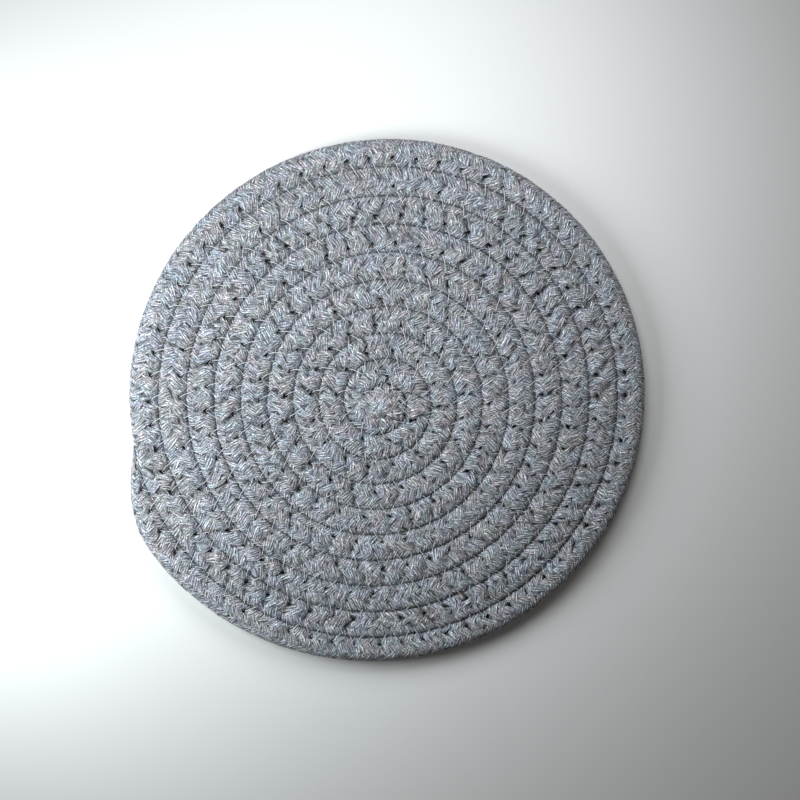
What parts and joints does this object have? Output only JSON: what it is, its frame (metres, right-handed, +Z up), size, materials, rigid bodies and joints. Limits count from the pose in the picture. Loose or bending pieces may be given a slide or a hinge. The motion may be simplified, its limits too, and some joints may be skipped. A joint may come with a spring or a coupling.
{
  "type": "coiled cotton cord coaster",
  "caption": "Round table coaster of grey plaited cotton cord, coiled flat in a spiral and sewn turn to turn, with a tapered cord end tucked in at the rim.",
  "frame": {"origin": "on the surface the coaster lies on, under the middle of its box", "axes": "+Z up, +X to the right and +Y away from the viewer as the coaster lies in the picture, with the cord's outer end towards -X"},
  "size_m": [0.1778, 0.1784, 0.008],
  "materials": {
    "grey_cotton": "matt heather-grey cotton, plaited from fine yarns, slightly fuzzy"
  },
  "bodies": {
    "root": {"coiled_cord": "grey_cotton"}
  },
  "joints": []
}
